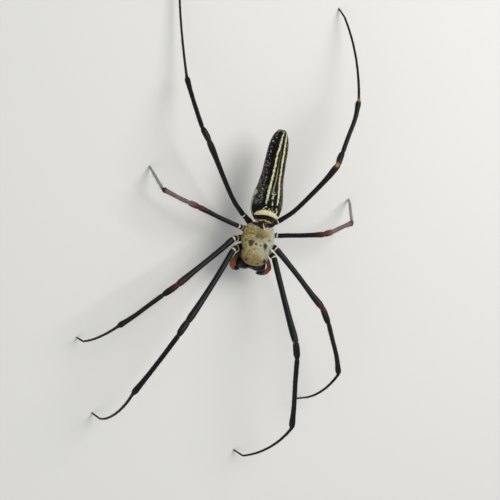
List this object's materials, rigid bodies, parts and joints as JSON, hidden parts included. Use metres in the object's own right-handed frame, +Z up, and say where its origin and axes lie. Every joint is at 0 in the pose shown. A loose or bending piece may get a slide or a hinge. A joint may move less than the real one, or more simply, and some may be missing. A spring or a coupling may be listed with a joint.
{
  "type": "golden silk orb weaver spider",
  "caption": "Still life-size model of an adult female giant wood spider, with a long striped abdomen and slender legs, standing with its legs spread.",
  "frame": {"origin": "on the floor under the middle of the box round the whole spider", "axes": "+Y from head to tail along the body, +X to the spider's left, +Z up from the floor that the toes stand on"},
  "size_m": [0.0797, 0.1424, 0.025],
  "materials": {
    "shell": "tan shell under a short buff and silver velvet, two dark patches",
    "dark_cuticle": "dark brown cuticle, satin, thinly haired",
    "jaw": "black polished cuticle",
    "palp": "rust red cuticle with a black last joint",
    "eye": "black glossy lens",
    "abdomen": "dark brown skin with yellow stripes and silver flecks, short hair",
    "leg_coxa": "black brown cuticle with yellow rings",
    "leg_femur": "dark slate cuticle, satin, short hair",
    "leg_patella": "dark red brown cuticle",
    "leg_tibia": "dark brown cuticle, satin, bristled",
    "leg_metatarsus": "black brown cuticle, bristled",
    "hair": "short flat hair",
    "bristle": "dark stiff bristles"
  },
  "bodies": {
    "root": {"carapace": "shell", "sternum": "dark_cuticle", "mouthparts": "dark_cuticle", "chelicera_L": "jaw", "fang_L": "jaw", "palp_L": "palp", "eye_front_median_L": "eye", "eye_rear_median_L": "eye", "eyes_side_L": "eye", "chelicera_R": "jaw", "fang_R": "jaw", "palp_R": "palp", "eye_front_median_R": "eye", "eye_rear_median_R": "eye", "eyes_side_R": "eye", "pedicel": "dark_cuticle", "abdomen": "abdomen", "spinnerets": "dark_cuticle", "coxa_L1": "leg_coxa", "femur_L1": "leg_femur", "patella_L1": "leg_patella", "tibia_L1": "leg_tibia", "metatarsus_L1": "leg_metatarsus", "coxa_R1": "leg_coxa", "femur_R1": "leg_femur", "patella_R1": "leg_patella", "tibia_R1": "leg_tibia", "metatarsus_R1": "leg_metatarsus", "coxa_L2": "leg_coxa", "femur_L2": "leg_femur", "patella_L2": "leg_patella", "tibia_L2": "leg_tibia", "metatarsus_L2": "leg_metatarsus", "coxa_R2": "leg_coxa", "femur_R2": "leg_femur", "patella_R2": "leg_patella", "tibia_R2": "leg_tibia", "metatarsus_R2": "leg_metatarsus", "coxa_L3": "leg_coxa", "femur_L3": "leg_femur", "patella_L3": "leg_patella", "tibia_L3": "leg_tibia", "metatarsus_L3": "leg_metatarsus", "coxa_R3": "leg_coxa", "femur_R3": "leg_femur", "patella_R3": "leg_patella", "tibia_R3": "leg_tibia", "metatarsus_R3": "leg_metatarsus", "coxa_L4": "leg_coxa", "femur_L4": "leg_femur", "patella_L4": "leg_patella", "tibia_L4": "leg_tibia", "metatarsus_L4": "leg_metatarsus", "coxa_R4": "leg_coxa", "femur_R4": "leg_femur", "patella_R4": "leg_patella", "tibia_R4": "leg_tibia", "metatarsus_R4": "leg_metatarsus"}
  },
  "joints": []
}
